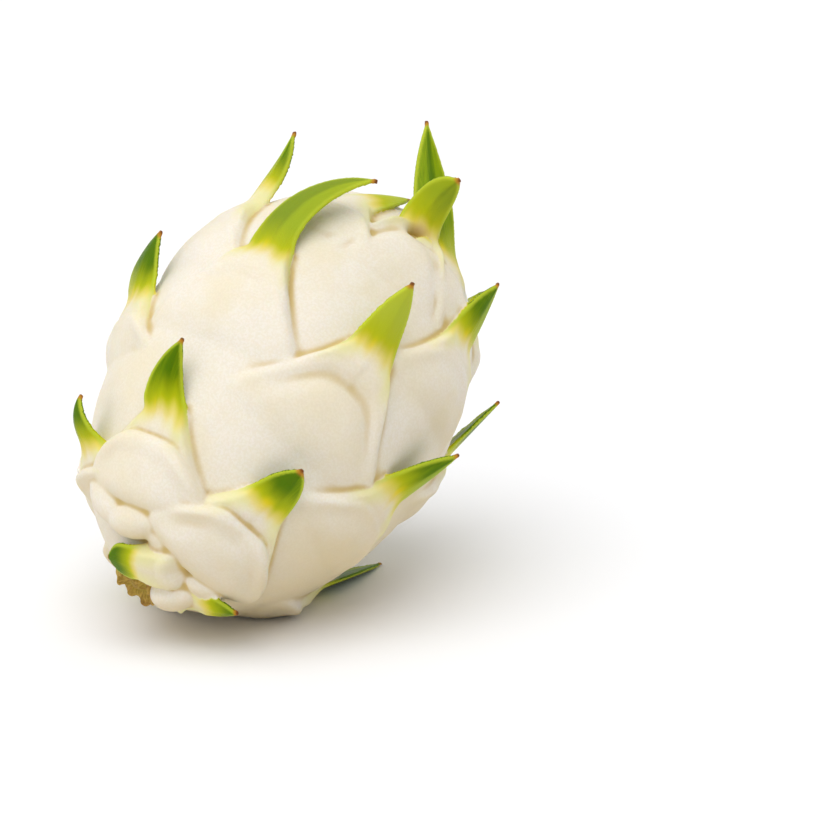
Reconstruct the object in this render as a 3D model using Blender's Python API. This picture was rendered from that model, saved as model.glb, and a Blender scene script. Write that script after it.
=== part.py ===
# A whole white-skinned dragon fruit, lying on its belly with one bract under it as a prop.
#
# Shapes are worked out in millimetres in the fruit's own frame: its origin is in the middle of the
# flesh and +Z runs along the fruit's axis, from the stem to the blossom end. A bearing is measured
# round that axis in degrees, with 0 on the underside and 180 on top. The finished fruit is tilted and
# set down on the floor at z = 0, with its blossom end up and towards +X.
import math

import bmesh
import bpy
import numpy as np

MM = 0.001

# Size and pose of the whole fruit
RADIUS = 41.0  # of the flesh at its widest
STEM_HALF = 59.5  # from the widest place to the stem end
BLOSSOM_HALF = 57.0  # from the widest place to the blossom end
TILT = 38.0  # degrees that the axis rises above the floor
CENTRE = (-5.9, 1.34, 50.0)  # where the fruit frame's origin stands over the floor
CURVATURE = 42.0  # mean radius of the skin, used to walk over it

# The hollow at the blossom end
NAVEL_DEPTH = 7.0
NAVEL_ANGLE = 11.0  # degrees from the axis, seen from the fruit's middle

# The woody stub of the cut stem, and the gap round it in its pocket
STUB_RADIUS = 5.8
STUB_INNER, STUB_OUTER = -51.0, -64.0  # stations of its two ends
STUB_ASIDE, STUB_BEARING = 2.6, 125.0  # how far it stands off the axis, and to which side
STUB_GAP = 0.3

# Bracts grow on a spiral that turns three eighths of a turn from one to the next
SPIRAL_TURN = -135.0
SPIRAL_START = 191.0
FIRST_STEP, LAST_STEP = -8, 20
MIDDLE_STEP, HALF_STEPS = 5, 14
MIDDLE_STATION, HALF_STATIONS = 1.0, 49.0

# The margins of a bract on the skin
MARGIN_BLEND = 3.0  # over which the blade's edge turns into the margin
ROOT_DEPTH = 3.0  # how far a bract's base is sunk into the flesh

# A bract's sizes in millimetres and angles in degrees:
#   station, bearing  where the blade leaves the skin
#   turn            how far the whole bract is turned away from the blossom end
#   length, width   of the free blade, and half its width at the root
#   blunt, flare    how broad the blade stays towards its tip, and how fast the cheek widens below it
#   crown, thick    how far the blade's edges stand behind its middle, and its thickness there
#   lift, curl      angle off the skin at the root, and how much the blade opens on its way to the tip
#   lean, sweep     sideways heading at the root, and how much it turns on its way to the tip
#   roll            how much the blade turns about its own middle line on its way up
#   reach, puff     how far the cheek below the blade runs towards the stem, and how high it swells
#   rim             height of the margin over the skin
PLAIN = dict(turn=0, width=4.6, crown=1.5, thick=2.6, lift=18, curl=0, lean=0, sweep=0, roll=0)
PLAIN.update(reach=28, puff=1.6, rim=1.5, blunt=2.2, flare=0.77)

# Bracts that are set one by one, by their step on the spiral
SINGLE = {
    -8: dict(station=-57.2, bearing=203, turn=-103, length=9.5, lift=4, curl=-14, reach=12,
             puff=3.4, width=4.8, crown=1.0, thick=2.2, blunt=6, flare=0.1),
    -6: dict(station=-56.8, bearing=272.6, length=12.5, lift=8, lean=18, sweep=-5,
             reach=9, puff=3.4, width=5.0, flare=0.2),
    -5: dict(station=-41.4, bearing=152.7, length=13.4, lift=56, curl=-82, sweep=12,
             reach=14, puff=3.0, width=4.2),
    -4: dict(station=-41, bearing=35, length=12, lift=-8, reach=14),
    -3: dict(station=-37.4, bearing=244.6, length=13.4, lift=14, curl=3, sweep=-10,
             reach=22, puff=3.0, width=4.8),
    -2: dict(length=12, lift=-10),
    -1: dict(station=-32, bearing=347.5, length=33, lift=15, lean=11, sweep=3,
             reach=22, puff=2.0, width=6.2),
    0: dict(station=-32.3, bearing=192, length=18, lift=10, curl=-4, lean=-20,
            sweep=36, roll=18, reach=22, puff=2.6),
    3: dict(station=-5, bearing=145, length=18.5, lift=27, curl=-28, sweep=24, roll=20,
            reach=20, puff=2.6, width=6.4),
    5: dict(station=3.3, bearing=241, length=19.6, lift=25, curl=4, lean=-10, sweep=-7,
            roll=10, reach=36, width=5.3),
    8: dict(station=12.7, bearing=192.8, length=34, lift=18, curl=-21, lean=-16,
            sweep=84, roll=7, reach=34, width=5),
    10: dict(station=26, bearing=272, length=20.5, lift=16, curl=-6, sweep=8),
    11: dict(station=28, bearing=158, length=26, lift=12, curl=21, sweep=-12, roll=16,
             reach=32, width=3.6),
    12: dict(length=24, lift=30, curl=30),
    13: dict(station=42.2, bearing=233, length=17, lift=50, curl=72, lean=-22,
             sweep=-6, roll=-24, reach=28),
    14: dict(length=14, lift=24, curl=30),
    15: dict(length=14, lift=40, curl=44),
    16: dict(station=39, bearing=199.5, length=21, lift=-4, curl=-14, lean=14, sweep=4, reach=20),
    17: dict(length=22, lift=40, curl=44),
    18: dict(station=42.5, bearing=249, length=37.5, lift=9, curl=6, lean=-32, sweep=5,
             roll=-36, reach=24, width=5.8),
    19: dict(station=50, length=11, lift=-22, reach=14),
    20: dict(station=51, length=18, lift=44, curl=46, reach=16),
}

# Pale lobes packed round the stem end, in millimetres and degrees:
#   station, bearing  the lobe's middle
#   turn              how far its long side is turned away from the blossom end
#   long, wide, high  half its length, half its width, and its height over the skin
LOBES = [
    dict(station=-52.6, bearing=189, turn=78, long=8.8, wide=5.0, high=4.8),
    dict(station=-53.2, bearing=214, turn=121, long=9.0, wide=4.6, high=4.2),
    dict(station=-58.2, bearing=265, turn=-5, long=7.4, wide=4.6, high=5.5),
    dict(station=-54.4, bearing=265, turn=-123, long=6.4, wide=3.8, high=4.4),
    dict(station=-50.9, bearing=168, turn=-53, long=10.0, wide=5.4, high=4.4),
]

# How finely each bract and lobe is cut into faces
CHEEK_ROWS, BLADE_ROWS, COLUMNS = 6, 6, 6
LOBE_RINGS, LOBE_SIDES = 4, 12
SKIN_ROWS, SKIN_COLUMNS = 20, 32
STUB_SIDES, STUB_ROWS = 12, 5

SKIN = dict(colour=(0.86, 0.82, 0.70, 1.0), roughness=0.45)
BLADE = dict(colour=(0.27, 0.45, 0.02, 1.0), roughness=0.4)
WOOD = dict(colour=(0.26, 0.15, 0.05, 1.0), roughness=0.8)


def ease(low, high, value):
    x = np.clip((np.asarray(value, float) - low) / (high - low), 0.0, 1.0)
    return x * x * (3 - 2 * x)


def unit(vectors):
    return vectors / np.linalg.norm(vectors, axis=-1, keepdims=True)


# The bare skin, a distance from the fruit's middle for every direction
def skin_distance(direction):
    up = direction[..., 2]
    half = np.where(up < 0, STEM_HALF, BLOSSOM_HALF)
    plain = 1 / np.sqrt((up / half) ** 2 + (1 - up**2) / RADIUS**2)
    angle = np.degrees(np.arccos(np.clip(up, -1, 1)))
    return plain - NAVEL_DEPTH * (1 - ease(0.3 * NAVEL_ANGLE, NAVEL_ANGLE, angle))


def skin_normal(point):
    half = np.where(point[..., 2] < 0, STEM_HALF, BLOSSOM_HALF)
    return unit(point / np.stack([0 * half + RADIUS, 0 * half + RADIUS, half], -1) ** 2)


# The place where a blade leaves the skin, with directions along it to the blossom, across and out
class Node:
    def __init__(self, station, bearing, turned):
        half = STEM_HALF if station < 0 else BLOSSOM_HALF
        radius = RADIUS * math.sqrt(1 - (station / half) ** 2)
        turn = math.radians(bearing)
        self.point = np.array([radius * math.cos(turn), radius * math.sin(turn), station])
        self.out = skin_normal(self.point)
        across = np.array([-math.sin(turn), math.cos(turn), 0.0])
        along = np.cross(self.out, across)
        turned = math.radians(turned)
        self.along = along * math.cos(turned) + across * math.sin(turned)
        self.across = across * math.cos(turned) - along * math.sin(turned)

    def on_skin(self, along, across, height):
        along, across, height = np.broadcast_arrays(along, across, height)
        walk = np.hypot(along, across) / CURVATURE
        flat = along[..., None] * self.along + across[..., None] * self.across
        flat = flat * np.sinc(walk / math.pi)[..., None]
        drop = CURVATURE * (1 - np.cos(walk))
        direction = unit(self.point + flat - drop[..., None] * self.out)
        skin = direction * skin_distance(direction)[..., None]
        return skin + skin_normal(skin) * height[..., None]


# The outer and inner faces of one bract, as grids of points, with rows from the cheek's foot to the tip
class Bract:
    def __init__(self, sizes):
        self.sizes = sizes
        self.node = Node(sizes["station"], sizes["bearing"], sizes["turn"])

    def half_width(self, p):
        sizes = self.sizes
        blade = sizes["width"] * (1 - np.clip(p / sizes["length"], 0, 1) ** sizes["blunt"])
        margin = sizes["flare"] * MARGIN_BLEND * np.log1p(np.exp(-p / MARGIN_BLEND))
        foot = np.clip((-p / sizes["reach"] - 0.5) / 0.52, 0, 1)
        return np.maximum((blade + margin) * np.sqrt(1 - foot**2), 0.5)

    def cheek_height(self, p, s):
        sizes = self.sizes
        rise = np.clip(p / sizes["reach"] + 1, 0, 1)
        rim = sizes["rim"] * ease(0.0, 0.45, rise)
        swell = sizes["puff"] * ease(0, 0.5, rise) * (1 - 0.5 * ease(0.5, 1, rise))
        sunk = 1.6 * (1 - ease(0, 0.22, rise))
        return rim * (1 - 0.5 * ease(0.85, 1, np.abs(s))) + swell * (1 - s**2) - sunk

    def midline(self, p):
        # The blade's middle and its frame at each p, from a walk that starts just below the root.
        sizes, node = self.sizes, self.node
        start, steps = -5.0, 160
        walk = np.linspace(start, sizes["length"], steps)
        part = np.clip(walk / sizes["length"], 0, 1)
        lift = np.radians(sizes["lift"] * ease(-4, 6, walk) + sizes["curl"] * part)
        lean = np.radians(sizes["lean"] * ease(-4, 4, walk) + sizes["sweep"] * part)
        level = np.cos(lean)[:, None] * node.along + np.sin(lean)[:, None] * node.across
        ahead = np.cos(lift)[:, None] * level + np.sin(lift)[:, None] * node.out
        step = (sizes["length"] - start) / (steps - 1)
        places = np.cumsum(ahead, axis=0) * step
        places += node.on_skin(start, 0.0, self.cheek_height(start, 0.0)) - places[0]
        out = np.cos(lift)[:, None] * node.out - np.sin(lift)[:, None] * level
        side = np.cross(ahead, out)
        roll = np.radians(sizes["roll"] * ease(-4, 0.5 * sizes["length"], walk))[:, None]
        out, side = np.cos(roll) * out + np.sin(roll) * side, np.cos(roll) * side - np.sin(roll) * out
        picked = []
        for line in (places, out, side):
            picked.append(np.stack([np.interp(p, walk, line[:, axis]) for axis in range(3)], -1))
        return picked[0], unit(picked[1]), unit(picked[2])

    def faces(self, cheek_rows, blade_rows, columns):
        sizes = self.sizes
        cheek = -sizes["reach"] * (1 - np.linspace(0, 1, cheek_rows, endpoint=False))
        blade = sizes["length"] * np.linspace(0, 1, blade_rows)
        p = np.concatenate([cheek, blade])[:, None]
        s = np.sin(np.linspace(-1, 1, columns + 1) * math.pi / 2)[None, :]
        width = self.half_width(p)
        outer_skin = self.node.on_skin(p, s * width, self.cheek_height(p, s))
        inner_skin = self.node.on_skin(p, 0.9 * s * width, -ROOT_DEPTH)
        middle, out, side = self.midline(p[:, 0])
        slim = np.clip(1 - p / sizes["length"], 0, 1)
        crown = sizes["crown"] * width / sizes["width"]
        outer_blade = middle[:, None] + side[:, None] * (s * width)[..., None]
        outer_blade -= out[:, None] * (np.minimum(crown, 2.5) * s**2)[..., None]
        thick = np.maximum(sizes["thick"] * (1 - 0.7 * s**2) * (0.3 + 0.7 * slim), 0.65)
        inner_blade = outer_blade - out[:, None] * thick[..., None]
        free = ease(-5, 4, p)[..., None]
        outer = outer_skin * (1 - free) + outer_blade * free
        inner = inner_skin * (1 - free) + inner_blade * free
        return outer, inner


def bract_sizes():
    listed = []
    for step in range(FIRST_STEP, LAST_STEP + 1):
        ahead = (step - MIDDLE_STEP) / HALF_STEPS
        sizes = dict(PLAIN)
        sizes["station"] = MIDDLE_STATION + HALF_STATIONS * math.sin(ahead * math.pi / 2)
        sizes["bearing"] = (SPIRAL_START + SPIRAL_TURN * step) % 360
        sizes["length"] = 22 + 13 * ahead
        sizes["reach"] = 28 + 4 * ahead - 8 * ahead**2
        sizes.update(SINGLE.get(step, {}))
        listed.append(sizes)
    return listed


# Meshes
def material(name, look):
    made = bpy.data.materials.new(name)
    made.use_nodes = True
    shader = made.node_tree.nodes["Principled BSDF"]
    shader.inputs["Base Color"].default_value = look["colour"]
    shader.inputs["Roughness"].default_value = look["roughness"]
    made.diffuse_color = look["colour"]
    return made


def grid_faces(rows, columns, first, flip, wrap=False):
    faces = []
    across = columns if wrap else columns - 1
    for row in range(rows - 1):
        for column in range(across):
            beside = (column + 1) % columns
            face = [row * columns + column, row * columns + beside]
            face += [(row + 1) * columns + beside, (row + 1) * columns + column]
            faces.append([first + corner for corner in (face[::-1] if flip else face)])
    return faces


def mesh_object(name, points, faces, materials):
    mesh = bpy.data.meshes.new(name)
    mesh.from_pydata([tuple(point * MM) for point in points], [], faces)
    for each in materials:
        mesh.materials.append(each)
    made = bpy.data.objects.new(name, mesh)
    bpy.context.scene.collection.objects.link(made)
    solid = bmesh.new()
    solid.from_mesh(mesh)
    bmesh.ops.recalc_face_normals(solid, faces=solid.faces)
    solid.to_mesh(mesh)
    solid.free()
    return made


def skin_object(materials):
    points = [np.array([0.0, 0.0, -STEM_HALF])]
    for row in range(1, SKIN_ROWS):
        polar = math.pi * row / SKIN_ROWS
        for column in range(SKIN_COLUMNS):
            turn = 2 * math.pi * column / SKIN_COLUMNS
            ring = math.sin(polar)
            direction = np.array([ring * math.cos(turn), ring * math.sin(turn), -math.cos(polar)])
            points.append(direction * skin_distance(direction))
    points.append(np.array([0.0, 0.0, BLOSSOM_HALF - NAVEL_DEPTH]))
    faces = grid_faces(SKIN_ROWS - 1, SKIN_COLUMNS, 1, False, wrap=True)
    last = len(points) - 1
    for column in range(SKIN_COLUMNS):
        beside = (column + 1) % SKIN_COLUMNS
        faces.append([0, 1 + beside, 1 + column])
        faces.append([last, last - SKIN_COLUMNS + column, last - SKIN_COLUMNS + beside])
    return mesh_object("fruit", points, faces, materials)


def bract_object(name, sizes, materials):
    outer, inner = Bract(sizes).faces(CHEEK_ROWS, BLADE_ROWS, COLUMNS)
    rows, columns = outer.shape[:2]
    count = rows * columns
    faces = grid_faces(rows, columns, 0, False) + grid_faces(rows, columns, count, True)
    border = list(range(columns))
    border += [row * columns + columns - 1 for row in range(1, rows)]
    border += [(rows - 1) * columns + column for column in range(columns - 2, -1, -1)]
    border += [row * columns for row in range(rows - 2, 0, -1)]
    for here, following in zip(border, border[1:] + border[:1]):
        faces.append([following, here, here + count, following + count])
    points = np.concatenate([outer.reshape(-1, 3), inner.reshape(-1, 3)])
    made = mesh_object(name, points, faces, materials)
    green_row = CHEEK_ROWS + 1
    for polygon in made.data.polygons:
        lowest = min(corner % count for corner in polygon.vertices) // columns
        polygon.material_index = 1 if lowest >= green_row else 0
    return made


def lobe_object(name, lobe, materials):
    node = Node(lobe["station"], lobe["bearing"], lobe["turn"])
    ring = np.sin(np.linspace(0.15, 1.0, LOBE_RINGS) * math.pi / 2)[:, None]
    turn = 2 * math.pi * np.arange(LOBE_SIDES)[None, :] / LOBE_SIDES
    along = lobe["long"] * ring * np.cos(turn)
    across = lobe["wide"] * ring * np.sin(turn)
    dome = (lobe["high"] + 1) * np.sqrt(np.maximum(1 - ring**2.4, 0)) - 1
    outer = node.on_skin(along, across, dome)[::-1]
    inner = node.on_skin(0.95 * along[-1:], 0.95 * across[-1:], -ROOT_DEPTH)
    points = np.concatenate([inner, outer]).reshape(-1, 3)
    faces = grid_faces(LOBE_RINGS + 1, LOBE_SIDES, 0, False, wrap=True)
    faces.append(list(range(LOBE_SIDES)))
    faces.append(list(range(LOBE_RINGS * LOBE_SIDES, (LOBE_RINGS + 1) * LOBE_SIDES)))
    return mesh_object(name, points, faces, materials)


def stub_object(name, grow, materials):
    points = []
    bearing = math.radians(STUB_BEARING)
    aside = np.array([STUB_ASIDE * math.cos(bearing), STUB_ASIDE * math.sin(bearing), 0.0])
    for row in range(STUB_ROWS):
        part = row / (STUB_ROWS - 1)
        station = STUB_INNER + (STUB_OUTER - STUB_INNER) * part + grow * (1 - 2 * part)
        for side in range(STUB_SIDES):
            turn = 2 * math.pi * side / STUB_SIDES
            rough = 1 + 0.10 * math.sin(3 * turn + 1) + 0.06 * math.sin(5 * turn + 2)
            radius = STUB_RADIUS * rough * (0.85 + 0.2 * part) + grow
            torn = 1.2 * part * math.sin(2 * turn + 0.6)
            ring = np.array([radius * math.cos(turn), radius * math.sin(turn), station + torn])
            points.append(ring + aside)
    faces = grid_faces(STUB_ROWS, STUB_SIDES, 0, False, wrap=True)
    faces.append(list(range(STUB_SIDES)))
    faces.append(list(range((STUB_ROWS - 1) * STUB_SIDES, STUB_ROWS * STUB_SIDES)))
    return mesh_object(name, points, faces, materials)


def set_down(made):
    made.rotation_euler = (0.0, math.radians(90 - TILT), 0.0)
    made.location = [place * MM for place in CENTRE]


def cutter(made):
    made.hide_render = True
    made.display_type = "WIRE"
    return made


def boolean(made, operation, solver="EXACT", **operand):
    modifier = made.modifiers.new(operation.title(), "BOOLEAN")
    modifier.operation = operation
    modifier.solver = solver
    for key, value in operand.items():
        setattr(modifier, key, value)


def apply_modifiers(made):
    bpy.context.view_layer.update()
    graph = bpy.context.evaluated_depsgraph_get()
    mesh = bpy.data.meshes.new_from_object(made.evaluated_get(graph))
    made.modifiers.clear()
    made.data = mesh


def main():
    for old in list(bpy.data.objects):
        bpy.data.objects.remove(old, do_unlink=True)
    looks = [material("skin", SKIN), material("blade", BLADE)]
    fruit = skin_object(looks)
    bracts = bpy.data.collections.new("bracts")
    bpy.context.scene.collection.children.link(bracts)
    grown = [bract_object(f"bract_{number:02d}", sizes, looks) for number, sizes in enumerate(bract_sizes())]
    grown += [lobe_object(f"lobe_{number}", lobe, looks) for number, lobe in enumerate(LOBES)]
    for made in grown:
        bpy.context.scene.collection.objects.unlink(made)
        bracts.objects.link(made)
    boolean(fruit, "UNION", solver="MANIFOLD", operand_type="COLLECTION", collection=bracts)
    apply_modifiers(fruit)
    for made in list(bracts.objects):
        bpy.data.objects.remove(made, do_unlink=True)
    bpy.data.collections.remove(bracts)

    stub = stub_object("stem_stub", 0.0, [material("wood", WOOD)])
    pocket = cutter(stub_object("stub_pocket", STUB_GAP, []))
    bpy.ops.mesh.primitive_cube_add(size=1.0)
    floor = cutter(bpy.context.object)
    floor.name = "floor"
    floor.scale = (0.4, 0.4, 0.04)
    floor.location = (0.0, 0.0, -0.02)
    boolean(fruit, "DIFFERENCE", object=pocket)
    boolean(fruit, "DIFFERENCE", object=floor)
    for made in (fruit, stub, pocket):
        set_down(made)


if __name__ == "__main__":
    main()
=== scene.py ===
import math

import bpy
import numpy as np
from mathutils import Matrix, Vector, kdtree, noise


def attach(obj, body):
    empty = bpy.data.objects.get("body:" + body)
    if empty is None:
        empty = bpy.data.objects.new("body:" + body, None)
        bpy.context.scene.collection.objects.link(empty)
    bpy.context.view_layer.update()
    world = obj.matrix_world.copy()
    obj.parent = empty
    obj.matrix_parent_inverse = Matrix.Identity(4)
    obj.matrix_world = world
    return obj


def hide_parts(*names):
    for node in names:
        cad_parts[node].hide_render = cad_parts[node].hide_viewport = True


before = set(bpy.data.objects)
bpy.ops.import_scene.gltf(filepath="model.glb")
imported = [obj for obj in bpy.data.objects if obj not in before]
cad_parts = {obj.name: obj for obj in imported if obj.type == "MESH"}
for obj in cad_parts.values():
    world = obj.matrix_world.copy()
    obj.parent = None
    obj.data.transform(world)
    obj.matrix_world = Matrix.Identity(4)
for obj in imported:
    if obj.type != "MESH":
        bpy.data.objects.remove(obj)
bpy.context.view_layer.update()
print("frame loaded:", sorted(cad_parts))

# Everything on the fruit is worked out in millimetres in the fruit's own frame, with +Z from the
# stem to the blossom end. A bearing goes round that axis: 0 is the underside and 180 the top.
mm = 0.001

cameraLook = {
    "azimuth": -49.0,
    "height": 16.0,  # degrees above the floor
    "lens": 120.0,
    "sensor": 36.0,
    "pixelsPerMm": 4.1,  # at the middle of the fruit
    "fruitAt": (285, 396),  # where the middle of the fruit stands in the picture
    "picture": 816,
}

fruitForm = {
    "radius": 41.0,
    "stemHalf": 59.5,  # from the widest place to the stem end
    "blossomHalf": 57.0,
    "tilt": 38.0,  # degrees that the axis rises above the floor
    "centre": (-5.9, 1.34, 50.0),
    "curvature": 42.0,  # mean radius, used to walk over the skin
    "navelDepth": 7.0,
    "navelAngle": 11.0,
    "navelFloor": 0.3,  # share of that angle that is its flat bottom
    "press": 0.8,  # what would sink into the floor is pressed flat over this height
    "swells": (0.11, 0.22),  # the skin's unevenness: how close its swells lie, and how high they are
    "ripples": (0.34, 0.07),
    "skinRows": 180,
    "skinColumns": 280,
    "grain": 0.33,  # edge of one face of the finished skin
    "soften": 22,  # rounds of smoothing on the cheeks
    "softenBlades": 12,
}


# Small helpers for shapes
def ease(low, high, value):
    x = np.clip((np.asarray(value, float) - low) / (high - low), 0.0, 1.0)
    return x * x * (3 - 2 * x)


def hump(value, middle, width):
    return np.exp(-((value - middle) / width) ** 2)


def unit(vectors):
    return vectors / np.linalg.norm(vectors, axis=-1, keepdims=True)


def skinDistance(direction):
    form = fruitForm
    up = direction[..., 2]
    half = np.where(up < 0, form["stemHalf"], form["blossomHalf"])
    plain = 1 / np.sqrt((up / half) ** 2 + (1 - up**2) / form["radius"] ** 2)
    angle = np.degrees(np.arccos(np.clip(up, -1, 1)))
    edge = form["navelAngle"]
    return plain - form["navelDepth"] * (1 - ease(form["navelFloor"] * edge, edge, angle))


def skinNormal(point):
    half = np.where(point[..., 2] < 0, fruitForm["stemHalf"], fruitForm["blossomHalf"])
    across = 0 * half + fruitForm["radius"]
    return unit(point / np.stack([across, across, half], -1) ** 2)


def gridFaces(rows, columns, first, flip, wrap=False):
    last = columns if wrap else columns - 1
    row, column = np.meshgrid(np.arange(rows - 1), np.arange(last), indexing="ij")
    beside = (column + 1) % columns
    faces = np.stack([row * columns + column, row * columns + beside,
                      (row + 1) * columns + beside, (row + 1) * columns + column], -1).reshape(-1, 4)
    return first + (faces[:, ::-1] if flip else faces)


# Bracts: one leaf-like scale each, a swollen cheek on the skin that ends in a free green blade
bractForm = {
    "spiralTurn": -135.0,  # degrees from one bract to the next
    "spiralStart": 191.0,  # bearing of step 0
    "steps": (-8, 20),  # the first at the stem end and the last at the blossom end
    "middleStep": 5,
    "halfSteps": 14,
    "middleStation": 1.0,
    "halfStations": 49.0,
    "length": (22, 13),  # of a blade at the middle step, and how much it grows to the blossom end
    "reach": (28, 4, -8),  # of a cheek there, its growth, and how much both ends lose
    "marginBlend": 3.0,
    "leastWidth": 0.5,
    "rootDepth": 3.0,
    "sunk": 1.6,  # how far a cheek's foot starts below the skin
    "crestIn": 2.2,  # how far inside the margin its crest stands
    "footRise": 6.0,  # the stretch over which a pillow's foot swells
    "pillow": (15.0, 8.0),  # how far in a cheek swells, and how much sooner a plump one does
    "lineStart": -5.0,  # where the blade's middle line starts, below its root
    "lineSteps": 160,
    "cheekRows": 56,
    "bladeRows": 52,
    "columns": 48,
}

# station, bearing: where the blade leaves the skin; turn: of the whole bract
# length, width: of the blade, and half its width at the root; crown, thick: of its section
# blunt: how broad the blade stays towards its tip; tip: size of the brown tip
# lift, curl, lean, sweep: how it opens and bends; roll: about its own middle line
# reach, puff: the cheek's length and swelling; flare: how fast it widens below the blade
# plump: how far the cheek is a round pillow; full: how much it stands above the blade's root
# rim: height of its margin; left, right: height of the crest inside each margin
# groove, ridge: depth of the valley inside that crest, and how far in it lies
# throat: how far below the root the valley passes
# notch, pit, mouth: depth, place and size of the hollow under the blade
# green: distance from the root where the green starts; quick: how fast it gets deep
# deep: how deep the green is in its middle; shadedSide: which side of the blade is painted deeper and
# the other lighter, painted shade and light on its two facets
# young: how much paler and yellower the green is
plainBract = dict(
    turn=0, width=4.6, crown=1.5, thick=2.6, blunt=2.2, tip=1.0, lift=18, curl=0, lean=0, sweep=0,
    roll=0, reach=28, puff=1.6, flare=0.77, plump=0.0, full=1.5, rim=1.5, left=0.6, right=0.6,
    groove=0.5, ridge=5.8, throat=2.5, notch=0.0, pit=-8.5, mouth=1.0, green=1.0, quick=1.0,
    deep=0.5, shadedSide=0.6, young=0.0)

singleBracts = {
    -8: dict(station=-57.2, bearing=203, turn=-103, length=9.5, lift=4, curl=-14, reach=15,
             puff=2.2, rim=3.2, full=0.8, width=4.8, crown=1.0, thick=2.2, blunt=6, flare=0.1,
             tip=0.35, left=0, right=0, plump=0.4, groove=0, green=1.4, quick=2.0, deep=1.0),
    -6: dict(station=-56.8, bearing=272.6, length=12.5, lift=8, lean=18, sweep=-5, reach=9,
             puff=3.4, width=5.0, flare=0.2, tip=0.6, left=0, right=0, green=4.5, quick=1.7,
             deep=1.2),
    -5: dict(station=-41.4, bearing=152.7, length=13.4, lift=56, curl=-82, sweep=12, reach=14,
             puff=3.0, width=4.2, plump=0.6, full=0.9, green=0.0, quick=1.3, deep=0.9),
    -4: dict(station=-41, bearing=35, length=12, lift=-8, reach=14),
    -3: dict(station=-37.4, bearing=244.6, length=13.4, lift=14, curl=3, sweep=-10, reach=23.5,
             puff=3.3, width=4.8, left=1.4, right=1.2, notch=0.6, groove=1.3, plump=1, blunt=3.2,
             green=0.8, quick=1.4, deep=0.9),
    -2: dict(length=12, lift=-10),
    -1: dict(station=-32, bearing=347.5, length=33, lift=15, lean=11, sweep=3, reach=22, puff=2.0,
             width=6.2, green=3, plump=0.5),
    0: dict(station=-32.3, bearing=192, length=18, lift=10, curl=-4, lean=-20, sweep=36, roll=18,
            reach=22.5, puff=3.1, green=0.5, plump=1, groove=0.9, deep=0.75),
    3: dict(station=-5, bearing=145, length=18.5, lift=27, curl=-28, sweep=24, roll=20, reach=20,
            puff=2.6, width=6.4, green=0.4, shadedSide=-0.3, deep=1.1, full=0.8),
    5: dict(station=3.3, bearing=241, length=19.6, lift=25, curl=4, lean=-10, sweep=-7, roll=10,
            reach=36, width=5.3, left=1.8, right=1.4, groove=1.6, throat=3, blunt=2.6, green=1.5,
            shadedSide=0.4, young=0.85, deep=0.25),
    8: dict(station=12.7, bearing=192.8, length=34, lift=18, curl=-21, lean=-16, sweep=84, roll=7,
            reach=34, width=5, rim=1.9, green=-0.6, shadedSide=-0.7, young=0.35),
    10: dict(station=26, bearing=272, length=20.5, lift=16, curl=-6, sweep=8),
    11: dict(station=28, bearing=158, length=26, lift=12, curl=21, sweep=-12, roll=16, reach=32,
             width=3.6, green=8),
    12: dict(length=24, lift=30, curl=30),
    13: dict(station=42.2, bearing=233, length=17, lift=50, curl=72, lean=-22, sweep=-6, roll=-24,
             reach=28, left=2.2, right=2.2, notch=7, pit=-2.6, mouth=0.6, groove=1.8, ridge=4.0,
             throat=-1, blunt=3.5, green=1, shadedSide=0.7, young=0.35, deep=0.35),
    14: dict(length=14, lift=24, curl=30),
    15: dict(length=10.5, lift=30, curl=34),
    16: dict(station=39, bearing=199.5, length=21, lift=-4, curl=-14, lean=14, sweep=4, reach=20,
             green=6, young=1.0),
    17: dict(length=22, lift=40, curl=44),
    18: dict(station=42.5, bearing=249, length=37.5, lift=9, curl=6, lean=-32, sweep=5, roll=-36,
             reach=24, width=5.8, green=-1, shadedSide=0.0, deep=0.5),
    19: dict(station=50, length=9, lift=-16, curl=-26, reach=12, puff=0.2, rim=0.5, width=4.0,
             crown=0.8, thick=1.5, green=20),
    20: dict(station=51, length=18, lift=44, curl=46, reach=16),
}


class Root:  # the place where a blade leaves the skin
    def __init__(self, station, bearing, twist):
        half = fruitForm["stemHalf"] if station < 0 else fruitForm["blossomHalf"]
        radius = fruitForm["radius"] * math.sqrt(1 - (station / half) ** 2)
        turn = math.radians(bearing)
        self.point = np.array([radius * math.cos(turn), radius * math.sin(turn), station])
        self.out = skinNormal(self.point)
        across = np.array([-math.sin(turn), math.cos(turn), 0.0])
        along = np.cross(self.out, across)
        twist = math.radians(twist)
        self.along = along * math.cos(twist) + across * math.sin(twist)
        self.across = across * math.cos(twist) - along * math.sin(twist)

    def onSkin(self, along, across, height):
        along, across, height = np.broadcast_arrays(along, across, height)
        walk = np.hypot(along, across) / fruitForm["curvature"]
        flat = along[..., None] * self.along + across[..., None] * self.across
        flat = flat * np.sinc(walk / math.pi)[..., None]
        drop = fruitForm["curvature"] * (1 - np.cos(walk))
        direction = unit(self.point + flat - drop[..., None] * self.out)
        skin = direction * skinDistance(direction)[..., None]
        return skin + skinNormal(skin) * height[..., None]


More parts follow.
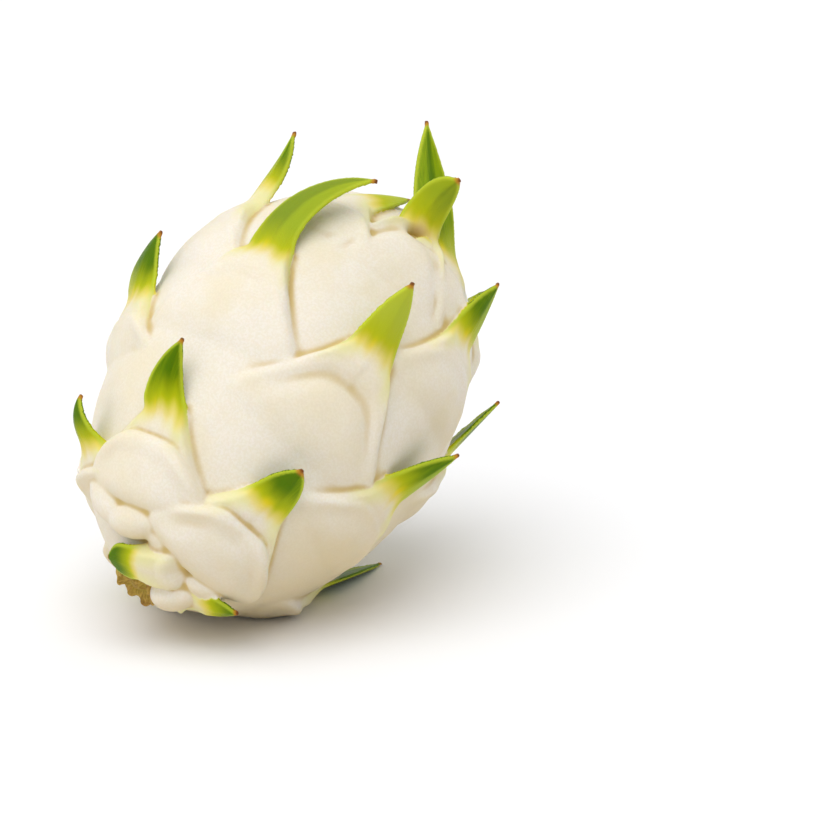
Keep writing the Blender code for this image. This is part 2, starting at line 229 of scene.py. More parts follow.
class Bract:  # p runs from the cheek's foot over the root, at 0, to the tip, and s across, -1 to 1
    def __init__(self, sizes):
        self.sizes = sizes
        self.root = Root(sizes["station"], sizes["bearing"], sizes["turn"])

    def halfWidth(self, p):
        sizes = self.sizes
        blade = sizes["width"] * (1 - np.clip(p / sizes["length"], 0, 1) ** sizes["blunt"])
        blend = bractForm["marginBlend"]
        margin = sizes["flare"] * blend * np.log1p(np.exp(-p / blend))
        foot = np.clip((-p / sizes["reach"] - 0.5) / 0.52, 0, 1)  # closes the lower half of the cheek
        bulge = 2 + sizes["plump"]
        closed = (blade + margin) * (1 - foot**bulge) ** (1 / bulge)
        return np.maximum(closed, bractForm["leastWidth"])

    def middleHeight(self, p):  # of the plain cheek, where the blade starts
        sizes = self.sizes
        rise = np.clip(p / sizes["reach"] + 1, 0, 1)
        swell = sizes["puff"] * ease(0, 0.5, rise) * (1 - 0.5 * ease(0.5, 1, rise))
        sunk = bractForm["sunk"] * (1 - ease(0, 0.22, rise))
        return sizes["rim"] * ease(0.0, 0.45, rise) + swell - sunk

    def archDepth(self, p, inward):
        # How deep a place lies inside the arch that both margins and the blade's root make
        below = np.maximum(-p - self.sizes["throat"], 0.3)
        return (np.maximum(inward, 0.2) ** -3 + below**-3) ** (-1 / 3)

    def crest(self, p, s, rise):  # along the margin: it stands up near the blade and runs out below
        sizes = self.sizes
        crest = sizes["rim"] * (0.5 + 1.1 * ease(-20, -3, p)) * ease(0.1, 0.6, rise)
        return crest + np.where(s < 0, sizes["left"], sizes["right"]) * ease(-16, -3, p)

    def pillow(self, arch, rise, foot):  # the round middle of the cheek
        sizes, form = self.sizes, bractForm
        plump = sizes["plump"]
        swell = plump * np.sqrt(1 - (1 - foot / form["footRise"]) ** 2)
        swell = swell + (1 - plump) * ease(0, 0.7, rise)
        swell = sizes["puff"] * swell * (1 - 0.45 * ease(0.6, 1, rise))
        wide = (form["pillow"][0] - form["pillow"][1] * plump) * (1 - 0.4 * ease(0.3, 0.8, rise))
        shoulder = np.clip((arch - 3.0 * ease(0.4, 0.8, rise)) / wide, 0, 1)
        return sizes["full"] * swell * np.sqrt(1 - (1 - shoulder) ** 2)

    def cheekHeight(self, p, s):
        sizes, form = self.sizes, bractForm
        width = self.halfWidth(p)
        inward = (1 - np.abs(s)) * width
        rise = np.clip(p / sizes["reach"] + 1, 0, 1)
        foot = np.clip(p + sizes["reach"], 0, form["footRise"])
        arch = self.archDepth(p, inward)
        edge = 0.45 + 0.55 * hump(np.maximum(arch, form["crestIn"]), form["crestIn"], 3.0)
        height = self.crest(p, s, rise) * ease(-0.2, 1.5, inward) * edge
        valley = hump(arch, sizes["ridge"], 0.46 * sizes["ridge"])
        height = height - sizes["groove"] * valley * ease(-27, -10, p)
        height = height + self.pillow(arch, rise, foot)
        hollow = hump(p, sizes["pit"], 3.6 * sizes["mouth"]) * hump(s * width, 0, 3.4 * sizes["mouth"])
        plump = sizes["plump"]
        risen = plump * ease(0, 1.2, foot) + (1 - plump) * ease(0, 0.45, rise)
        return height - sizes["notch"] * hollow - form["sunk"] * (1 - risen)

    def midline(self, p):  # the blade's middle and its frame at each p
        sizes, root = self.sizes, self.root
        start, steps = bractForm["lineStart"], bractForm["lineSteps"]
        walk = np.linspace(start, sizes["length"], steps)
        part = np.clip(walk / sizes["length"], 0, 1)
        lift = np.radians(sizes["lift"] * ease(-4, 6, walk) + sizes["curl"] * part)
        lean = np.radians(sizes["lean"] * ease(-4, 4, walk) + sizes["sweep"] * part)
        level = np.cos(lean)[:, None] * root.along + np.sin(lean)[:, None] * root.across
        ahead = np.cos(lift)[:, None] * level + np.sin(lift)[:, None] * root.out
        places = np.cumsum(ahead, axis=0) * (sizes["length"] - start) / (steps - 1)
        places += root.onSkin(start, 0.0, self.middleHeight(start)) - places[0]
        out = np.cos(lift)[:, None] * root.out - np.sin(lift)[:, None] * level
        side = np.cross(ahead, out)
        roll = np.radians(sizes["roll"] * ease(-4, 0.5 * sizes["length"], walk))[:, None]
        out, side = np.cos(roll) * out + np.sin(roll) * side, np.cos(roll) * side - np.sin(roll) * out
        picked = []
        for line in (places, out, side):
            picked.append(np.stack([np.interp(p, walk, line[:, axis]) for axis in range(3)], -1))
        return picked[0], unit(picked[1]), unit(picked[2])

    def faces(self):
        sizes = self.sizes
        cheek = -sizes["reach"] * (1 - np.linspace(0, 1, bractForm["cheekRows"], endpoint=False))
        blade = sizes["length"] * np.linspace(0, 1, bractForm["bladeRows"])
        p = np.concatenate([cheek, blade])[:, None]
        s = np.sin(np.linspace(-1, 1, bractForm["columns"] + 1) * math.pi / 2)[None, :]
        width = self.halfWidth(p)
        outerSkin = self.root.onSkin(p, s * width, self.cheekHeight(p, s))
        innerSkin = self.root.onSkin(p, 0.9 * s * width, -bractForm["rootDepth"])
        middle, out, side = self.midline(p[:, 0])
        slim = np.clip(1 - p / sizes["length"], 0, 1)
        crown = np.minimum(sizes["crown"] * width / sizes["width"], 2.5)
        keel = 0.5 * s**2 + 0.5 * np.abs(s) ** 1.1  # a rounded ridge along the blade's middle
        outerBlade = middle[:, None] + side[:, None] * (s * width)[..., None]
        outerBlade -= out[:, None] * (crown * keel)[..., None]
        thick = np.maximum(sizes["thick"] * (1 - 0.7 * s**2) * (0.3 + 0.7 * slim), 0.9)
        innerBlade = outerBlade - out[:, None] * thick[..., None]
        free = ease(-5, 4, p)[..., None]
        outer = outerSkin * (1 - free) + outerBlade * free
        inner = innerSkin * (1 - free) + innerBlade * free
        return outer, inner, p, s, width


def bractList():
    form = bractForm
    listed = []
    for step in range(form["steps"][0], form["steps"][1] + 1):
        ahead = (step - form["middleStep"]) / form["halfSteps"]
        sizes = dict(plainBract)
        sizes["station"] = form["middleStation"] + form["halfStations"] * math.sin(ahead * math.pi / 2)
        sizes["bearing"] = (form["spiralStart"] + form["spiralTurn"] * step) % 360
        sizes["length"] = form["length"][0] + form["length"][1] * ahead
        sizes["reach"] = form["reach"][0] + form["reach"][1] * ahead + form["reach"][2] * ahead**2
        # painted shade and light on the blade's facets, on a side that changes from step to step
        sizes["shadedSide"] = 0.6 * math.sin(step * 2.4)
        sizes.update(singleBracts.get(step, {}))
        listed.append(sizes)
    return listed


class Heap:  # vertices and faces of several closed solids that overlap
    def __init__(self):
        self.points, self.faces, self.count = [], [], 0

    def add(self, points, faces):
        self.points.append(points)
        self.faces += [[self.count + corner for corner in face] for face in faces]
        self.count += len(points)

    def mesh(self, name):
        made = bpy.data.meshes.new(name)
        made.from_pydata(np.concatenate(self.points).tolist(), [], self.faces)
        return made


# Pale lobes packed round the stem end: where the middle is, how the long side is turned, and
# half the length, half the width and the height
lobes = [
    dict(station=-52.6, bearing=189, turn=78, long=8.8, wide=5.0, high=4.8),
    dict(station=-53.2, bearing=213, turn=121, long=9.0, wide=4.2, high=3.2),
    dict(station=-58.2, bearing=265, turn=-5, long=7.4, wide=4.6, high=5.5),
    dict(station=-54.4, bearing=265, turn=-123, long=6.4, wide=3.8, high=4.4),
    dict(station=-50.9, bearing=168, turn=-53, long=10.0, wide=5.4, high=4.4),
]
lobeForm = {"rings": 20, "columns": 48}


# What is known of each sampled point of these shapes, and in which columns it stands; the slopes
# say how the place moves as along and across grow by one
known = {"place": slice(0, 3), "alongSlope": slice(3, 6), "acrossSlope": slice(6, 9),
         "along": 9, "across": 10, "width": 11, "number": 12, "face": 13}
knownColumns = 14


def factsOf(grid, **single):
    facts = np.zeros(grid.shape[:-1] + (knownColumns,))
    facts[..., known["place"]] = grid
    for name, value in single.items():
        facts[..., known[name]] = value
    return facts


def bareFacts(points):  # of points that no bract covers, far below any root
    return factsOf(points, along=-40, width=20, number=-1, face=1)


def addLobe(heap, samples, lobe):
    rows, columns = lobeForm["rings"], lobeForm["columns"]
    ring = np.linspace(0.02, 1, rows)[:, None]
    turns = np.linspace(0, 2 * math.pi, columns, endpoint=False)[None, :]
    along, across = lobe["long"] * ring * np.cos(turns), lobe["wide"] * ring * np.sin(turns)
    root = Root(lobe["station"], lobe["bearing"], lobe["turn"])
    dome = (lobe["high"] + 1) * np.sqrt(np.maximum(1 - ring**2.4, 0)) - 1
    outer = root.onSkin(along, across, dome)
    inner = root.onSkin(0.95 * along, 0.95 * across, -bractForm["rootDepth"])
    count = rows * columns
    faces = gridFaces(rows, columns, 0, False, wrap=True).tolist()
    faces += gridFaces(rows, columns, count, True, wrap=True).tolist()
    last = (rows - 1) * columns
    for column in range(columns):
        beside = (column + 1) % columns
        faces.append([last + column, last + beside, count + last + beside, count + last + column])
    faces += [list(range(columns - 1, -1, -1)), list(range(count, count + columns))]
    heap.add(np.concatenate([outer.reshape(-1, 3), inner.reshape(-1, 3)]), faces)
    samples.append(bareFacts(outer.reshape(-1, 3)))


def addSkin(heap, samples):
    form = fruitForm
    rows, columns = form["skinRows"], form["skinColumns"]
    polar, turn = np.meshgrid(math.pi * np.arange(1, rows) / rows,
                              2 * math.pi * np.arange(columns) / columns, indexing="ij")
    level = np.sin(polar)
    direction = np.stack([level * np.cos(turn), level * np.sin(turn), -np.cos(polar)], -1)
    ring = (direction * skinDistance(direction)[..., None]).reshape(-1, 3)
    stemEnd = [0, 0, -form["stemHalf"]]
    blossomEnd = [0, 0, form["blossomHalf"] - form["navelDepth"]]
    points = np.concatenate([[stemEnd], ring, [blossomEnd]])
    faces = gridFaces(rows - 1, columns, 1, False, wrap=True).tolist()
    last = len(points) - 1
    for column in range(columns):
        beside = (column + 1) % columns
        faces.append([0, 1 + beside, 1 + column])
        faces.append([last, last - columns + column, last - columns + beside])
    heap.add(points, faces)
    samples.append(bareFacts(ring))


def slope(grid, value, axis):
    change = np.maximum(np.abs(np.gradient(value, axis=axis)), 1e-6)
    return np.gradient(grid, axis=axis) / change[..., None]


def addBract(heap, samples, number, sizes):
    outer, inner, p, s, width = Bract(sizes).faces()
    rows, columns = outer.shape[:2]
    count = rows * columns
    faces = gridFaces(rows, columns, 0, False).tolist()
    faces += gridFaces(rows, columns, count, True).tolist()
    border = list(range(columns))
    border += [row * columns + columns - 1 for row in range(1, rows)]
    border += [(rows - 1) * columns + column for column in range(columns - 2, -1, -1)]
    border += [row * columns for row in range(rows - 2, 0, -1)]
    for here, following in zip(border, border[1:] + border[:1]):
        faces.append([following, here, here + count, following + count])
    heap.add(np.concatenate([outer.reshape(-1, 3), inner.reshape(-1, 3)]), faces)
    along, across = np.broadcast_arrays(p, s)
    for grid, face in ((outer, 1), (inner, -1)):
        facts = factsOf(grid, along=along, across=across, width=width, number=number, face=face,
                        alongSlope=slope(grid, along, 0), acrossSlope=slope(grid, across, 1))
        buried = 0 if face > 0 else bractForm["cheekRows"] - 8  # rows of the inner face in the flesh
        samples.append(facts[buried:].reshape(-1, knownColumns))


def remeshed(source, size):
    holder = bpy.data.objects.new("holder", source)
    bpy.context.scene.collection.objects.link(holder)
    modifier = holder.modifiers.new("Remesh", "REMESH")
    modifier.mode = "VOXEL"
    modifier.voxel_size = size
    bpy.context.view_layer.update()
    grown = holder.evaluated_get(bpy.context.evaluated_depsgraph_get())
    mesh = bpy.data.meshes.new_from_object(grown)
    bpy.data.objects.remove(holder)
    bpy.data.meshes.remove(source)
    return mesh


def meshArrays(mesh):
    points = np.zeros(len(mesh.vertices) * 3)
    mesh.vertices.foreach_get("co", points)
    edges = np.zeros(len(mesh.edges) * 2, int)
    mesh.edges.foreach_get("vertices", edges)
    return points.reshape(-1, 3), edges.reshape(-1, 2)


def smoothed(values, edges, rounds, share):
    # Moves each value towards the mean of its neighbours; share is how far, per vertex
    flat = values if values.ndim > 1 else values[:, None]
    count = np.bincount(edges.ravel(), minlength=len(flat))[:, None]
    share = np.broadcast_to(share, (len(flat),))[:, None]
    for _ in range(rounds):
        total = np.zeros_like(flat)
        for axis in range(flat.shape[1]):
            total[:, axis] = np.bincount(edges[:, 0], flat[edges[:, 1], axis], len(flat))
            total[:, axis] += np.bincount(edges[:, 1], flat[edges[:, 0], axis], len(flat))
        flat = flat + share * (total / np.maximum(count, 1) - flat)
    return flat if values.ndim > 1 else flat[:, 0]


def normalsOf(mesh):
    mesh.update()
    normals = np.zeros(len(mesh.vertices) * 3)
    mesh.vertices.foreach_get("normal", normals)
    return normals.reshape(-1, 3)


def nearestSamples(points, samples):
    tree = kdtree.KDTree(len(samples))
    for index, place in enumerate(samples[:, known["place"]].tolist()):
        tree.insert(place, index)
    tree.balance()
    nearest = samples[np.array([tree.find(place)[1] for place in points.tolist()])]
    picked = {name: nearest[:, columns] for name, columns in known.items()}
    away = points - picked["place"]
    moved = []
    for slopes in (picked["alongSlope"], picked["acrossSlope"]):
        moved.append(np.sum(away * slopes, -1) / np.maximum(np.sum(slopes**2, -1), 0.3))
    along, across = picked["along"] + moved[0], np.clip(picked["across"] + moved[1], -1, 1)
    return along, across, picked["width"], picked["number"].astype(int), picked["face"]


def turned(points):  # from the fruit's own axis to the way it lies
    tilt = math.radians(90 - fruitForm["tilt"])
    return points @ np.array(Matrix.Rotation(tilt, 3, "Y")).T


def setDown(points):
    placed = turned(points) + np.array(fruitForm["centre"])
    press = fruitForm["press"]
    low = placed[:, 2] < press
    placed[low, 2] = press * np.exp((placed[low, 2] - press) / press)
    return placed


def store(mesh, name, values):
    kind = "FLOAT" if values.ndim == 1 else "FLOAT_VECTOR"
    made = mesh.attributes.new(name, kind, "POINT")
    made.data.foreach_set("value" if values.ndim == 1 else "vector", values.astype(np.float32).ravel())


def onBlade(along):
    return ease(-1.0, 3.0, along)


def softened(points, edges, facts, plump):
    # Grown-together blades keep their thickness, and the skin and the cheeks are smoothed
    along = facts[0]
    for _ in range(fruitForm["softenBlades"]):
        points = smoothed(points, edges, 1, 0.5)
        points = smoothed(points, edges, 1, -0.52)
    packed = ease(-40.0, -52.0, points[:, 2])  # the lobes round the stem end stay crisp
    calm = (1 - ease(-20.0, -4.0, along)) * (1 - 0.9 * packed) * (1 - 0.85 * plump)
    points = smoothed(points, edges, fruitForm["soften"], 0.7 * calm)
    return smoothed(points, edges, 7, 0.6 * (1 - onBlade(along)))


def creases(points, edges):
    # How far each point lies in a valley, from the difference of two smoothings of the shape
    near = smoothed(points, edges, 6, 0.6)
    wide = smoothed(near, edges, 30, 0.8)
    outward = unit(points)
    return smoothed(np.sum((wide - near) * outward, -1), edges, 3, 0.5)


def unevenness(points, where):
    closeness, height = fruitForm["swells"]
    smallCloseness, smallHeight = fruitForm["ripples"]
    heights = []
    for place in points.tolist():
        swell = noise.noise(Vector(place) * closeness) * height
        heights.append(swell + noise.noise(Vector(place) * smallCloseness) * smallHeight)
    return np.array(heights) * where


def markSkin(mesh, points, edges, facts, bracts):
    # What the shading needs to know of each point
    along, across, width, number, face = facts
    along = smoothed(along, edges, 4, 0.5)
    bare = (number < 0).astype(float)  # skin that no bract covers
    outer = (face > 0).astype(float)

    def of(key):
        return np.array([sizes[key] for sizes in bracts], float)[number]

    green = (along - of("green") * np.where(face > 0, 1, 0.6)) * of("quick")
    toTip = (of("length") - along) / of("tip")
    # painted shade in the hollow under the root of a deeply notched blade
    paintedCrotchShade = np.clip(of("notch") - 1, 0, 6) / 6 * outer * (1 - bare)
    paintedCrotchShade = paintedCrotchShade * hump(along, of("pit") + 0.5, 3.4) * hump(across * width, 0, 3.0)
    # the side term paints one facet of the blade darker and the other lighter: painted shade and light
    deep = of("deep") + 0.5 * np.tanh(3 * across) * of("shadedSide")
    angle = np.degrees(np.arccos(np.clip(unit(points)[:, 2], -1, 1)))
    store(mesh, "along", np.clip(green, -30, 60) - 30 * bare)
    store(mesh, "paintedCrotchShade", paintedCrotchShade)
    store(mesh, "fromRoot", np.clip(along, -40, 60) - 20 * bare)
    store(mesh, "toTip", toTip + 30 * bare)
    store(mesh, "across", across)
    store(mesh, "inward", np.where(face > 0, (1 - np.abs(across)) * width, 3.0) + 20 * bare)
    store(mesh, "deep", np.clip(deep, 0, 1))
    # how deep each point lies in a valley, which the skin colour turns into painted crease shade
    store(mesh, "hollow", creases(points, edges))
    store(mesh, "young", of("young"))
    store(mesh, "fibre", np.stack([across * width, along, number * 7.3], -1))
    store(mesh, "navel", 1 - ease(4, 12, angle))


def pieceOf(mesh, name, points):
    mesh.vertices.foreach_set("co", (setDown(points) * mm).astype(np.float32).ravel())
    mesh.shade_smooth()
    mesh.update()
    mesh.name = name
    piece = bpy.data.objects.new(name, mesh)
    bpy.context.scene.collection.objects.link(piece)
    return piece


def buildFruit():
    bracts = bractList()
    heap, samples = Heap(), []
    addSkin(heap, samples)
    for number, sizes in enumerate(bracts):
        addBract(heap, samples, number, sizes)
    for lobe in lobes:
        addLobe(heap, samples, lobe)
    print("fruit: bracts laid out:", len(bracts))
    mesh = remeshed(heap.mesh("fruitSource"), fruitForm["grain"])
    points, edges = meshArrays(mesh)
    print("fruit: grown together:", len(points), "points")
    facts = nearestSamples(points, np.concatenate(samples))
    number = facts[3]
    plump = np.where(number < 0, 0.0, np.array([sizes["plump"] for sizes in bracts])[number])
    points = softened(points, edges, facts, plump)
    markSkin(mesh, points, edges, facts, bracts)
    mesh.vertices.foreach_set("co", points.astype(np.float32).ravel())
    normals = normalsOf(mesh)
    # painted shade: how far the skin faces down as the fruit lies; there it is painted a darker warm
    # tan
    store(mesh, "under", ease(0.2, -0.8, turned(normals)[:, 2]))
    points = points + normals * unevenness(points, 1 - onBlade(facts[0]))[:, None]
    piece = pieceOf(mesh, "fruitSkin", points)
    print("fruit: smoothed and set down")
    return piece


# Shading: nodes are wired by short sums
def tint(code):
    parts = [int(code[k:k + 2], 16) / 255 for k in (0, 2, 4)]
    return tuple(c / 12.92 if c <= 0.04045 else ((c + 0.055) / 1.055) ** 2.4 for c in parts) + (1.0,)


class Line:  # one output of a node
    def __init__(self, tree, socket):
        self.tree, self.socket = tree, socket

    def math(self, operation, first, second):
        return self.tree.node("ShaderNodeMath", {"operation": operation}, {0: first, 1: second})

    def __add__(self, other):
        return self.math("ADD", self, other)

    def __radd__(self, other):
        return self.math("ADD", other, self)

    def __sub__(self, other):
        return self.math("SUBTRACT", self, other)

    def __rsub__(self, other):
        return self.math("SUBTRACT", other, self)

    def __mul__(self, other):
        return self.math("MULTIPLY", self, other)

    def __rmul__(self, other):
        return self.math("MULTIPLY", other, self)

    def __abs__(self):
        return self.tree.node("ShaderNodeMath", {"operation": "ABSOLUTE"}, {0: self})


class Tree:
    def __init__(self, nodeTree):
        self.nodes, self.links = nodeTree.nodes, nodeTree.links

    def node(self, kind, settings, sockets, out=0):
        made = self.nodes.new(kind)
        for name, value in settings.items():
            setattr(made, name, value)
        for name, value in sockets.items():
            if isinstance(value, Line):
                self.links.new(value.socket, made.inputs[name])
            else:
                made.inputs[name].default_value = value
        return Line(self, made.outputs[out])

    def mix(self, factor, first, second):
        return self.node("ShaderNodeMix", {"data_type": "RGBA"}, {0: factor, 6: first, 7: second}, 2)

    def fact(self, name, out="Fac"):  # what buildFruit or buildStub stored at each point
        return self.node("ShaderNodeAttribute", {"attribute_name": name}, {}, out)

    def step(self, value, low, high):
        return self.node("ShaderNodeMapRange", {"interpolation_type": "SMOOTHSTEP"},
                         {"Value": value, "From Min": low, "From Max": high})

    def stretch(self, vector, by):
        return self.node("ShaderNodeVectorMath", {"operation": "MULTIPLY"}, {0: vector, 1: by})

    def grain(self, vector, scale, detail=2.0, rough=0.5):
        return self.node("ShaderNodeTexNoise", {},
                         {"Vector": vector, "Scale": scale, "Detail": detail, "Roughness": rough})

    def bump(self, height, strength, distance):
        return self.node("ShaderNodeBump", {},
                         {"Strength": strength, "Distance": distance, "Height": height})

    def feed(self, node, socket, line):
        self.links.new(line.socket, self.nodes[node].inputs[socket])


class Shade(Tree):  # a material with one shader
    def __init__(self, name, fixed):
        self.material = bpy.data.materials.new(name)
        self.material.use_nodes = True
        super().__init__(self.material.node_tree)
        for socket, value in fixed.items():
            self.nodes["Principled BSDF"].inputs[socket].default_value = value

    def surface(self, socket, line):
        self.feed("Principled BSDF", socket, line)


fruitLook = {
    "pale": tint("F1EADD"),
    "warm": tint("EEE4CC"),
    "pore": tint("E2D6B8"),
    # painted shade colour for skin that faces down
    "under": tint("D4C196"),
    # painted shade colours for the creases and hollows
    "paintedCreaseShade": tint("CDB064"),
    "paintedDeepShade": tint("A27C34"),
    "flange": tint("E6E19A"),
    "yellow": tint("E8CF1E"),
    "limeGreen": tint("B7BE10"),
    "leaf": tint("8FA802"),
    "deepLeaf": tint("527600"),
    "young": tint("B8C43C"),
    "margin": tint("BCCB38"),
    "tipBrown": tint("B8742A"),
    "tipDark": tint("5A2A22"),
    "navelBrown": tint("8A7440"),
    "roughness": 0.4,
    "stippleScale": 1700.0,
    "stippleDepth": 0.15,
}

skinBody = {
    "IOR": 1.42,
    "Specular IOR Level": 0.1,
    "Subsurface Weight": 0.22,
    "Subsurface Radius": (1.0, 0.62, 0.25),
    "Subsurface Scale": 0.004,
}


def creamSkin(shade, mottle, fine, stipple):
    look, hollow = fruitLook, shade.fact("hollow")
    skin = shade.mix(shade.step(mottle, 0.35, 0.7), look["pale"], look["warm"])
    skin = shade.mix(shade.step(fine, 0.55, 0.75) * 0.25, skin, look["warm"])
    skin = shade.mix(shade.step(stipple, 0.62, 0.4) * 0.26, skin, look["pore"])
    # painted shade: skin that faces down is painted towards a darker warm tan
    skin = shade.mix(shade.fact("under") * 0.75, skin, look["under"])
    # painted shade: the deeper a valley, the more its skin is painted tan, then dark brown
    skin = shade.mix(shade.step(hollow, 0.02, 0.2) * 0.85, skin, look["paintedCreaseShade"])
    return shade.mix(shade.step(hollow, 0.18, 0.5) * 0.7, skin, look["paintedDeepShade"])


def flanged(shade, skin, streaks, inward):  # pale yellow on the flanges below each blade
    reach = shade.step(shade.fact("fromRoot") + streaks * 8.0 - 4.0, -11.0, -1.0)
    near = reach * shade.step(inward, 6.5, 2.0) * 0.75
    return shade.mix(near, skin, fruitLook["flange"])


def bladeGreen(shade, across, threads, mottle):
    look = fruitLook
    midrib = shade.step(abs(across), 0.4, 0.0)
    # deep also carries the painted shade and light of the blade's two facets
    depth = shade.fact("deep") + midrib * 0.3 + (threads - 0.5) * 0.35 + (mottle - 0.5) * 0.4
    green = shade.mix(shade.step(depth, 0.3, 0.85), look["leaf"], look["deepLeaf"])
    return shade.mix(shade.fact("young"), green, look["young"])


def bladeColour(shade, green, along, start, across, streaks, inward):
    # Yellow at the root, then lime, then leaf green, and brown at the tip
    look = fruitLook
    blade = shade.mix(shade.step(start, -5.0, -0.5), look["flange"], look["yellow"])
    blade = shade.mix(shade.step(start, -2.5, 4.0), blade, look["limeGreen"])
    blade = shade.mix(shade.step(start, 0.5, 11.0), blade, green)
    blade = shade.mix(shade.step(inward, 1.1, 0.2) * 0.75, blade, look["margin"])
    rib = shade.step(abs(across + 0.12), 0.42, 0.05) * shade.step(streaks, 0.42, 0.62)
    gold = rib * shade.step(along, -6.0, -0.5) * shade.step(along, 5.0, 0.5)
    blade = shade.mix(gold * 0.7, blade, look["yellow"])
    tipEdge = shade.fact("toTip") + (streaks - 0.5) * 1.6
    blade = shade.mix(shade.step(tipEdge, 2.0, 0.8) * 0.85, blade, look["tipBrown"])
    return shade.mix(shade.step(tipEdge, 0.9, 0.2) * 0.8, blade, look["tipDark"])


def fruitMaterial():
    look = fruitLook
    shade = Shade("fruitSkin", skinBody)
    place = shade.node("ShaderNodeTexCoord", {}, {}, "Object")
    fibre = shade.fact("fibre", "Vector")
    along, across, inward = shade.fact("along"), shade.fact("across"), shade.fact("inward")
    mottle = shade.grain(place, 60.0, 3.0)
    fine = shade.grain(place, look["stippleScale"] * 0.4)
    stipple = shade.grain(place, look["stippleScale"])
    streaks = shade.grain(shade.stretch(fibre, (0.4, 0.06, 1.0)), 1.0, 1.0, 0.4)
    threads = shade.grain(shade.stretch(fibre, (4.5, 0.22, 1.0)), 1.0)
    start = along + (streaks - 0.5) * 5.0
    lime = shade.step(start, -5.5, 3.0)  # 0 on the skin and 1 on a blade

    skin = flanged(shade, creamSkin(shade, mottle, fine, stipple), streaks, inward)
    green = bladeGreen(shade, across, threads, mottle)
    blade = bladeColour(shade, green, along, start, across, streaks, inward)
    colour = shade.mix(lime, skin, blade)
    # painted shade: the hollow under a notched blade's root is painted dark brown
    colour = shade.mix(shade.fact("paintedCrotchShade") * 0.85, colour, look["paintedDeepShade"])
    scar = shade.fact("navel") + (mottle - 0.5) * 0.6 + (fine - 0.5) * 0.7
    colour = shade.mix(shade.step(scar, 0.25, 1.1) * (1 - lime), colour, look["navelBrown"])
    shade.surface("Base Color", colour)
    shade.surface("Roughness", look["roughness"] + (mottle - 0.5) * 0.15 - lime * 0.06)
    relief = stipple * (1 - lime) * 0.9 + threads * lime * 1.6 + mottle * 0.8
    shade.surface("Normal", shade.bump(relief, 0.5, look["stippleDepth"] * mm))
    return shade.material


# The dry stub of the cut stem
stubForm = {
    "radius": 7.4,
    "inner": -50.0,
    "outer": -62.5,
    "aside": (2.6, 125.0),  # how far it stands off the axis, and towards which bearing
    "strands": 8,  # a core and the ones round it
    "core": {"away": 0.0, "thick": 0.78, "ends": 1.2, "flat": 1.0},
    "round": {"away": (0.52, 0.64), "thick": (0.5, 0.62), "ends": (-0.8, 0.7), "flat": (0.5, 0.7)},
    "sides": 14,
    "rows": 16,
    "grain": 0.3,
    "rough": 0.2,  # height of its unevenness
    "seed": 4,
}


def strandSizes(luck, core):
    if core:
        return stubForm["core"]
    return {name: luck.uniform(*span) for name, span in stubForm["round"].items()}


def addStrand(heap, strand, turn, sizes):
    form = stubForm
    sides, rows = form["sides"], form["rows"]
    away, thick = form["radius"] * sizes["away"], form["radius"] * sizes["thick"]
    outer = form["outer"] + sizes["ends"]
    points = []
    for row in range(rows):
        part = row / (rows - 1)
        station = form["inner"] + (outer - form["inner"]) * part
        slim = thick * (1 - 0.8 * ease(0.7, 1.0, part)) * (1 + 0.1 * math.sin(part * 9 + strand))
        middle = away * (1 + 0.15 * part * part)
        for side in range(sides):
            angle = 2 * math.pi * side / sides
            outwards = middle + sizes["flat"] * slim * math.cos(angle)
            across = slim * math.sin(angle) + 0.4 * math.sin(3 * part + strand)
            points.append([outwards * math.cos(turn) - across * math.sin(turn),
                           outwards * math.sin(turn) + across * math.cos(turn), station])
    faces = gridFaces(rows, sides, 0, True, wrap=True).tolist()
    faces += [list(range(sides)), list(range(rows * sides - 1, (rows - 1) * sides - 1, -1))]
    heap.add(np.array(points, float), faces)


def buildStub():
    form = stubForm
    luck = np.random.default_rng(form["seed"])
    heap = Heap()
    for strand in range(form["strands"]):
        turn = 2 * math.pi * strand / (form["strands"] - 1) + luck.uniform(-0.15, 0.15)
        addStrand(heap, strand, turn, strandSizes(luck, strand == 0))
    mesh = remeshed(heap.mesh("stubSource"), form["grain"])
    points, edges = meshArrays(mesh)
    points = smoothed(points, edges, 6, 0.5)
    bumps = np.array([form["rough"] * noise.noise(Vector(place) * 0.9) for place in points.tolist()])
    points = points + normalsOf(mesh) * bumps[:, None]
    store(mesh, "towardsEnd", ease(form["outer"] + 5, form["outer"] - 1, points[:, 2]))
    around = np.arctan2(points[:, 1], points[:, 0]) * 5
    fromAxis = np.hypot(points[:, 0], points[:, 1])
    store(mesh, "strand", np.stack([around, points[:, 2], fromAxis], -1))
    away, bearing = form["aside"][0], math.radians(form["aside"][1])
    points = points + np.array([away * math.cos(bearing), away * math.sin(bearing), 0])
    piece = pieceOf(mesh, "stemStub", points)
    print("stub: fibres grown together:", len(points), "points")
    return piece


stubLook = {
    "straw": tint("C49A50"),
    "bark": tint("8A5A22"),
    "olive": tint("B2A430"),
}


def stubMaterial():
    look = stubLook
    shade = Shade("stemStub", {"IOR": 1.4})
    strand = shade.fact("strand", "Vector")
    lines = shade.grain(shade.stretch(strand, (1.4, 0.25, 0.8)), 1.0, 4.0, 0.6)
    blotch = shade.grain(strand, 0.5, 2.0)
    colour = shade.mix(shade.step(lines, 0.38, 0.62), look["bark"], look["straw"])
    fresh = shade.step(blotch, 0.2, 0.5) * (1 - shade.fact("towardsEnd") * 0.8)
    colour = shade.mix(fresh * 0.85, colour, look["olive"])
    shade.surface("Base Color", colour)
    shade.surface("Roughness", 0.62 + lines * 0.25)
    shade.surface("Normal", shade.bump(lines, 0.7, 0.4 * mm))
    return shade.material


fruit = buildFruit()
fruit.data.materials.append(fruitMaterial())
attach(fruit, "root")
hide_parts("fruit")

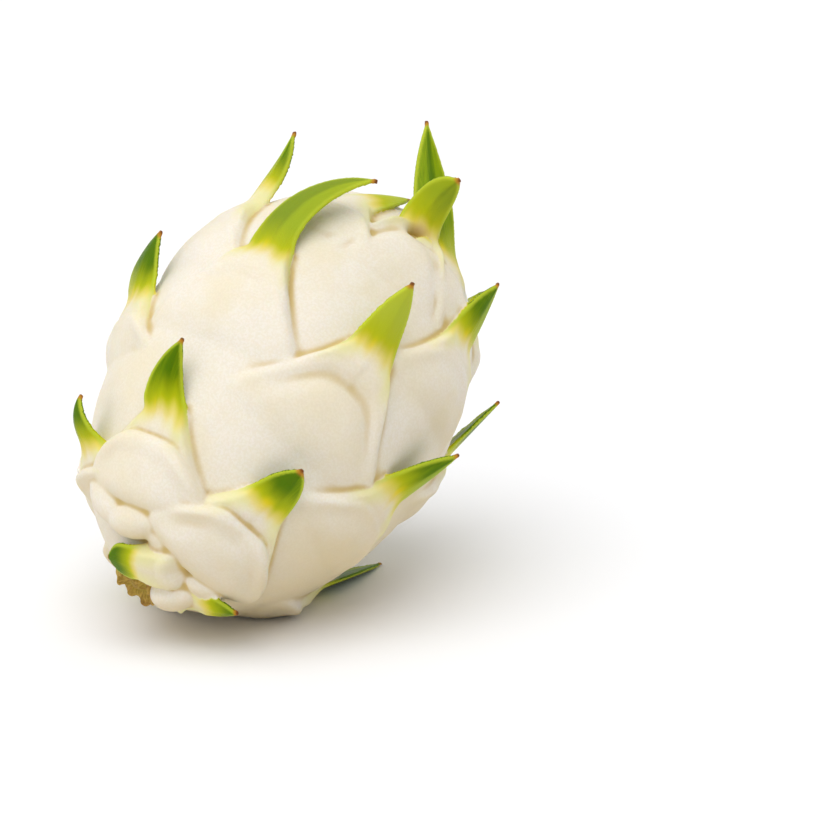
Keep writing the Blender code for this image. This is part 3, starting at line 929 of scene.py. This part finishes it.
stub = buildStub()
stub.data.materials.append(stubMaterial())
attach(stub, "root")
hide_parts("stem_stub")
print("pieces dressed")

# Stage: a plain white floor, soft studio light and the camera
stageLook = {
    "floorSize": 6.0,
    "floor": tint("F8F8FA"),
    "key": {"from": (-0.15, 0.85, 0.6), "spread": 60.0, "strength": 1.7, "colour": (1.0, 0.99, 0.98)},
    "room": {
        "bright": (0.65, 0.655, 0.66, 1),
        "dim": (0.06, 0.04, 0.0, 1),
        "from": (-0.6, 0.6, -0.5),
        "edge": (-0.95, -0.2),  # where the dim side ends and the bright one is full
    },
}


def cameraFrame():
    azimuth, height = math.radians(cameraLook["azimuth"]), math.radians(cameraLook["height"])
    right = Vector((math.cos(azimuth), math.sin(azimuth), 0))
    level = math.cos(height)
    back = Vector((math.sin(azimuth) * level, -math.cos(azimuth) * level, math.sin(height)))
    return right, back.cross(right), back


def addCamera():
    look = cameraLook
    right, up, back = cameraFrame()
    middle = look["picture"] / 2
    away = look["lens"] / look["sensor"] * look["picture"] / look["pixelsPerMm"]
    eye = Vector(fruitForm["centre"]) + back * away
    eye -= right * ((look["fruitAt"][0] - middle) / look["pixelsPerMm"])
    eye += up * ((look["fruitAt"][1] - middle) / look["pixelsPerMm"])
    camera = bpy.data.objects.new("camera", bpy.data.cameras.new("camera"))
    camera.data.lens, camera.data.sensor_width = look["lens"], look["sensor"]
    camera.data.clip_start, camera.data.clip_end = 0.01, 20
    camera.matrix_world = Matrix.Translation(eye * mm) @ Matrix((right, up, back)).transposed().to_4x4()
    bpy.context.scene.collection.objects.link(camera)
    bpy.context.scene.camera = camera


def addFloor():
    half = stageLook["floorSize"] / 2
    mesh = bpy.data.meshes.new("floor")
    corners = [(-half, -half, 0), (half, -half, 0), (half, half, 0), (-half, half, 0)]
    mesh.from_pydata(corners, [], [(0, 1, 2, 3)])
    floor = bpy.data.objects.new("floor", mesh)
    bpy.context.scene.collection.objects.link(floor)
    fixed = {"Base Color": stageLook["floor"], "Roughness": 0.9, "Specular IOR Level": 0.1}
    mesh.materials.append(Shade("floor", fixed).material)


def fromCamera(parts):
    return sum((axis * part for axis, part in zip(cameraFrame(), parts)), Vector()).normalized()


def addKey():
    look = stageLook["key"]
    light = bpy.data.objects.new("key", bpy.data.lights.new("key", "SUN"))
    light.data.energy = look["strength"]
    light.data.angle = math.radians(look["spread"])
    light.data.color = look["colour"]
    light.rotation_mode = "QUATERNION"
    light.rotation_quaternion = fromCamera(look["from"]).to_track_quat("Z", "Y")
    bpy.context.scene.collection.objects.link(light)


def addRoom():  # soft light from all round, brighter on the key's side
    look = stageLook["room"]
    world = bpy.data.worlds.new("room")
    world.use_nodes = True
    tree = Tree(world.node_tree)
    place = tree.node("ShaderNodeTexCoord", {}, {}, "Generated")
    towards = tree.node("ShaderNodeVectorMath", {"operation": "DOT_PRODUCT"},
                        {0: place, 1: fromCamera(look["from"])}, "Value")
    lit = tree.step(towards, *look["edge"])
    tree.feed("Background", "Color", tree.mix(lit, look["dim"], look["bright"]))
    bpy.context.scene.world = world
    bpy.context.scene.view_settings.view_transform = "Standard"


addCamera()
addFloor()
addKey()
addRoom()
print("stage set")
